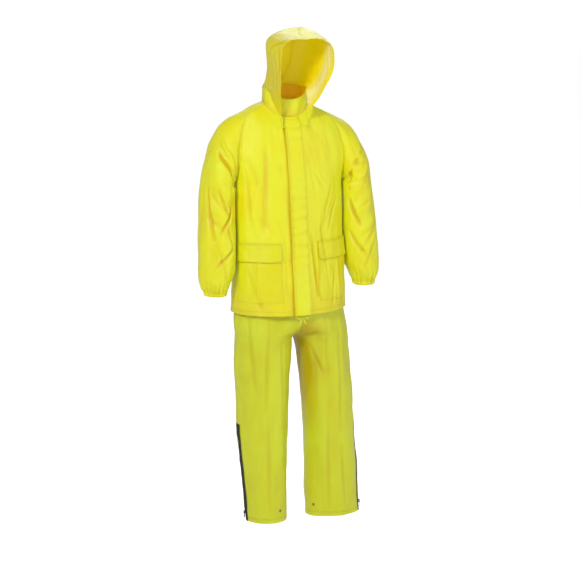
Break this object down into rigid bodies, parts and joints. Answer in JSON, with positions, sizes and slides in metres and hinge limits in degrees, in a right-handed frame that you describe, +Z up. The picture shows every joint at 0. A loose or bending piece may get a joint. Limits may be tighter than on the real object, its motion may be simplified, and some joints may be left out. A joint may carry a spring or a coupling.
{
  "type": "hooded rain suit",
  "caption": "Rain jacket with raglan sleeves, stand collar, fixed hood, storm flap and flap pockets, over straight rain trousers with ankle zips, filled out as worn.",
  "frame": {"origin": "centre of the neck at the height of the front neck seam, where the suit is carried by the wearer's shoulders", "axes": "+Z up, -Y the way the wearer faces, +X the wearer's left"},
  "size_m": [0.71, 0.303, 1.8449],
  "materials": {
    "jacket_cloth": "satin coated weave",
    "trouser_cloth": "satin coated weave",
    "jacket_cord": "braided",
    "trouser_cord": "braided",
    "zip_tape": "woven tape",
    "zip_metal": "dark enamel",
    "snap_yellow": "moulded",
    "snap_dark": "dull enamel"
  },
  "bodies": {
    "suit": {"front_right": "jacket_cloth", "front_left": "jacket_cloth", "back": "jacket_cloth", "sleeve_right": "jacket_cloth", "sleeve_left": "jacket_cloth", "cuff_right": "jacket_cloth", "cuff_left": "jacket_cloth", "collar": "jacket_cloth", "hood_right": "jacket_cloth", "hood_left": "jacket_cloth", "leg_right_front": "trouser_cloth", "leg_right_back": "trouser_cloth", "leg_left_front": "trouser_cloth", "leg_left_back": "trouser_cloth", "waistband": "trouser_cloth", "storm_flap": "jacket_cloth", "pocket_right": "jacket_cloth", "pocket_left": "jacket_cloth", "pocket_flap_right": "jacket_cloth", "pocket_flap_left": "jacket_cloth", "zip_tape_right": "zip_tape", "zip_tape_left": "zip_tape", "hood_cord_right": "jacket_cord", "hood_cord_knot_right": "jacket_cord", "hood_cord_left": "jacket_cord", "hood_cord_knot_left": "jacket_cord", "bow_knot": "trouser_cord", "bow_strand_right": "trouser_cord", "bow_loop_right": "trouser_cord", "bow_end_right": "trouser_cord", "bow_strand_left": "trouser_cord", "bow_loop_left": "trouser_cord", "bow_end_left": "trouser_cord", "zip_slider_right": "zip_metal", "zip_slider_left": "zip_metal", "hem_snap_right": "snap_dark", "hem_snap_left": "snap_dark", "collar_snap_right": "snap_yellow", "collar_snap_left": "snap_yellow"},
    "pull_right": {"zip_pull_right": "zip_metal"},
    "pull_left": {"zip_pull_left": "zip_metal"}
  },
  "joints": [
    {"name": "pull_right_swing", "type": "hinge", "parent": "suit", "child": "pull_right", "pos_m": [-0.1831, -0.05135, -1.48], "axis": [-0.03, 0.9995, 0], "range_deg": [0, 150]},
    {"name": "pull_left_swing", "type": "hinge", "parent": "suit", "child": "pull_left", "pos_m": [0.27464, -0.07817, -1.48], "axis": [-0.386, -0.9225, 0], "range_deg": [0, 150]}
  ]
}
